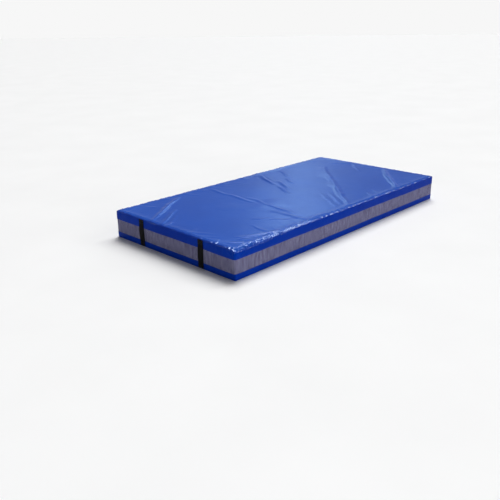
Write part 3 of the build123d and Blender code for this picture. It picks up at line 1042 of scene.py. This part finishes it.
def make_handle(node):
    """Webbing sewn flat at both ends, its raw ends folded under, and bowed between them for the fingers."""
    (x0, y0, z0), (_, y1, z1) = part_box(node)
    end = 1 if x0 > 0 else -1
    sewn_low, sewn_high = z0 + SEWN_LOW, z1 - SEWN_HIGH
    boxes = [middle_and_half(bottom + BOX_MARGIN, top - BOX_MARGIN)
             for bottom, top in ((z0, sewn_low), (sewn_high, z1))]
    tip = 4 * MM
    z = np.concatenate([np.linspace(z0, z0 + tip, 4)[:-1], np.linspace(z0 + tip, z1 - tip, 84),
                        np.linspace(z1 - tip, z1, 4)[1:]])
    y = np.linspace(y0 + 0.6 * MM, y1 - 0.6 * MM, 17)
    middle_y, half_y = middle_and_half(y0, y1)
    height, width = np.meshgrid(z, y, indexing="ij")
    across = (width - middle_y) / half_y
    span = np.clip((height - sewn_low) / (sewn_high - sewn_low), 0, 1)
    bow = STRAP_BOW * np.sin(math.pi * span) ** 1.15
    hem = sum(np.maximum(hem_profile(height, edge, up), 0) * ((height - edge) * up > 0)
              for edge, up in HEMS.values())
    resting = side_out(end * HALF_X, width, height)
    smooth = np.mean(resting, axis=1, keepdims=True)
    folded = smooth_step(height, sewn_high + 2 * MM, sewn_high + 4 * MM)
    folded = folded + smooth_step(-height, -sewn_low + 2 * MM, -sewn_low + 4 * MM)
    edge_tuck = -0.35 * MM * np.abs(across) ** 6
    base = 0.5 * (resting + smooth) + hem + 0.5 * MM
    out = base + bow + FOLDED_UNDER * folded + edge_tuck + box_dip(height, across, boxes)
    points = stack(end * (HALF_X + out), width, height)
    strap = grid_piece(node + "_strap", points[:, ::end], points[:, ::end, 1:])
    solidify(strap, STRAP_T, 1)
    dress_sheet(strap, STRAP, node)
    return strap_stitches(end, middle_y, boxes, points)


def box_dip(height, across, boxes):
    """The webbing is drawn in along the box and cross stitching of both sewn ends."""
    dip = np.zeros(height.shape)
    for middle, half in boxes:
        v = (height - middle) / half
        inside = (np.abs(v) < 1.15) & (np.abs(across) < 0.9)
        lines = np.minimum(np.abs(np.abs(across) - BOX_SHARE) * 20, np.abs(np.abs(v) - 1) * half / MM)
        lines = np.minimum(lines, np.abs(np.abs(v) - np.abs(across) / BOX_SHARE) * 12)
        dip = dip - 0.35 * MM * np.exp(-lines ** 2 / 2.0) * inside
    return dip


def strap_stitches(end, middle_y, boxes, points):
    """Paths of the box and cross stitching on both sewn ends of one handle."""
    rows_z, columns_y = points[:, 0, 2], points[0, :, 1]
    out = end * points[..., 0]

    def on_strap(y, z):
        """Points on the outer face, read between the strap's rows and columns."""
        face = [np.interp(across, columns_y, [np.interp(up, rows_z, column) for column in out.T])
                for across, up in zip(y, z)]
        return stack(end * (np.array(face) + STRAP_T + STRAP_STITCH_OUT), y, z)

    paths = []
    t = np.linspace(0, 1, 24)
    for middle_z, half_z in boxes:
        for (a0, b0), (a1, b1) in BOX_RUNS:
            y = middle_y + BOX_HALF_WIDTH * (a0 + (a1 - a0) * t)
            z = middle_z + half_z * (b0 + (b1 - b0) * t)
            paths.append((on_strap(y, z), np.tile([end, 0.0, 0.0], (len(t), 1))))
    return paths


def make_handles():
    for end_name in ("left", "right"):
        paths = []
        for side_name in ("front", "back"):
            paths += make_handle(f"handle_{end_name}_{side_name}")
        dress(stitches(f"handle_stitches_{end_name}", paths), BLACK_THREAD)


# ---- Zipper ----
TOOTH_PITCH = 2.1 * MM
TOOTH_CORNERS = 8
# A tooth's rings: place across the row towards the other one, width in pitches, and depth.
TOOTH_RINGS = ((-1.0, 0.30, 0.35), (-0.82, 0.42, 0.8), (-0.1, 0.40, 0.92), (0.72, 0.40, 1.0),
               (0.98, 0.46, 0.9), (1.06, 0.28, 0.5))


def make_teeth(row, up):
    """One row of the nylon coil: a bead for each turn, standing half a pitch off the other row's."""
    node = f"zipper_teeth_{row}"
    (x0, y0, z0), (x1, y1, z1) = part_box(node)
    middle_y, half_y = middle_and_half(y0, y1)
    middle_z, half_z = middle_and_half(z0, z1)
    at = np.arange(x0 + TOOTH_PITCH * (0.5 if up > 0 else 1.0), x1 - TOOTH_PITCH / 2, TOOTH_PITCH)
    places = []
    for share, width, depth in TOOTH_RINGS:
        z = middle_z - up * share * half_z
        for c, s in around(TOOTH_CORNERS):
            places.append(stack(at + c * width * TOOTH_PITCH, middle_y + s * depth * 0.98 * half_y, z))
    coil = beads(node + "_coil", places, TOOTH_CORNERS, up < 0)
    dress(coil, COIL, node)


def make_tape(row):
    """Woven tape with a slight ripple, held flat at its edge by the coil."""
    node = f"zipper_tape_{row}"
    (x0, y0, z0), (x1, y1, z1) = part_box(node)
    along, height = np.meshgrid(np.linspace(x1, x0, 620), np.linspace(z0, z1, 9))
    ripple = 0.12 * MM * long_swell(8 * along, 0, 8 * height)
    tape = grid_piece(node + "_cloth", stack(along, y1 + ripple, height), stack(along, height))
    solidify(tape, y1 - y0)
    dress_sheet(tape, TAPE, node)


def make_end_patch(end_name):
    """A vinyl patch from the zipper's end around to the corner."""
    node = f"zipper_end_patch_{end_name}"
    (x0, _, z0), (x1, _, z1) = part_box(node)
    end = mitre(HALF_X)
    reach = HALF_X - min(abs(x0), abs(x1))
    along = np.linspace(end - reach, end, 60)
    if end_name == "right":
        along = -along[::-1]
    z = np.linspace(z0 + 0.5 * MM, z1, 16)
    patch = skin_piece(node + "_vinyl", "back", along, z, 0.1 * MM, 0.9 * MM)
    dress_sheet(patch, SHADED_VINYL_SIDE, node)


def make_zipper():
    for row, up in (("upper", 1), ("lower", -1)):
        make_teeth(row, up)
        make_tape(row)
    for end_name in ("left", "right"):
        make_end_patch(end_name)
    for node in ("zipper_slider", "zipper_pull_tab", "zipper_top_stops", "zipper_bottom_stop"):
        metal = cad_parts[node]
        metal.data.materials.clear()
        metal.data.materials.append(NICKEL)


# ---- Camera, floor and light ----
CAMERA_PLACE = (-3.565, -2.985, 1.481)
CAMERA_YAW = 43.79
CAMERA_PITCH = 20.93
CAMERA_ROLL = -0.587
CAMERA_LENS = 43.2
FLOOR_HALF = 90
FLOOR_DROP = 0.3 * MM
BACKDROP = 0.93
# What the mat reflects of the room: height above the horizon, and shade there.
ROOM = ((0.03, 0.92), (0.06, 0.70), (0.11, 0.34), (0.22, 0.12))
# Soft sources far away: azimuth from +X to +Y, elevation, spread across the disc, strength, colour.
LIGHTS = {
    "overhead_softbox": (32, 62, 30, 2.42, (1, 1, 1)),
    "back_softbox": (39.0, 22, 6, 0.062, (0.5, 0.76, 1.0)),
    "right_softbox": (-2, 46, 11, 0.50, (1, 1, 1)),
    "side_softbox": (-38, 28, 14, 0.30, (1, 1, 1)),
    "front_softbox": (-88, 14, 30, 0.56, (1, 1, 1)),
}


def turned_by(degrees, axis):
    return Matrix.Rotation(math.radians(degrees), 4, axis)


def make_camera():
    data = bpy.data.cameras.new("camera")
    data.lens = CAMERA_LENS
    data.sensor_width = 36
    data.clip_end = 60
    camera = new_object("camera", data)
    camera.matrix_world = (Matrix.Translation(CAMERA_PLACE) @ turned_by(CAMERA_YAW - 90, "Z")
                           @ turned_by(90 - CAMERA_PITCH, "X") @ turned_by(CAMERA_ROLL, "Z"))
    bpy.context.scene.camera = camera


def make_light(name, azimuth, elevation, spread, strength, color):
    data = bpy.data.lights.new(name, "SUN")
    data.angle = math.radians(spread)
    data.energy = strength
    data.color = color
    light = new_object(name, data)
    light.matrix_world = turned_by(azimuth, "Z") @ turned_by(90 - elevation, "Y")


def make_world():
    """A backdrop as pale as the floor; what the mat reflects is pale at the horizon and dim higher up."""
    look = Look("studio", bpy.data.worlds)
    shades = look.add("ValToRGB", {"Fac": look.split("Generated")["Z"]})
    stops = shades.node.color_ramp.elements
    for _ in range(len(ROOM) - len(stops)):
        stops.new(0.5)
    for stop, (height, shade) in zip(stops, ROOM):
        stop.position, stop.color = height, (shade, shade, shade, 1)
    room = look.add("Background", {"Color": shades})
    backdrop = look.add("Background", {"Color": (BACKDROP, BACKDROP, BACKDROP, 1)})
    seen = look.add("LightPath", {}, "Is Camera Ray")
    either = look.add("MixShader", {0: seen, 1: room, 2: backdrop})
    look.feed(look.nodes["World Output"].inputs["Surface"], either)
    bpy.context.scene.world = look.owner


def make_stage():
    x = np.linspace(-FLOOR_HALF, FLOOR_HALF, 31)
    grid_x, grid_y = np.meshgrid(x, x)
    floor = grid_piece("floor", stack(grid_x, grid_y, -FLOOR_DROP), stack(grid_x, grid_y))
    floor.data.materials.append(floor_paint())
    make_world()
    for name, facts in LIGHTS.items():
        make_light(name, *facts)
    bpy.context.scene.view_settings.view_transform = "Standard"


make_camera()
make_stage()
make_foam("foam_block", "foam_core", SOFT_FOAM)
make_foam("foam_landing_block", "foam_landing_layer", FIRM_FOAM)
make_top_sheet()
make_bottom_sheet()
for side_name in SIDES:
    make_band(side_name, f"top_band_{side_name}", BAND_EDGE, TOP_SEAM, True)
    make_mesh_panel(side_name)
    make_band(side_name, f"bottom_band_{side_name}", FLOOR_SEAM, LOWER_EDGE, False)
make_hem_stitches()
make_handles()
make_zipper()
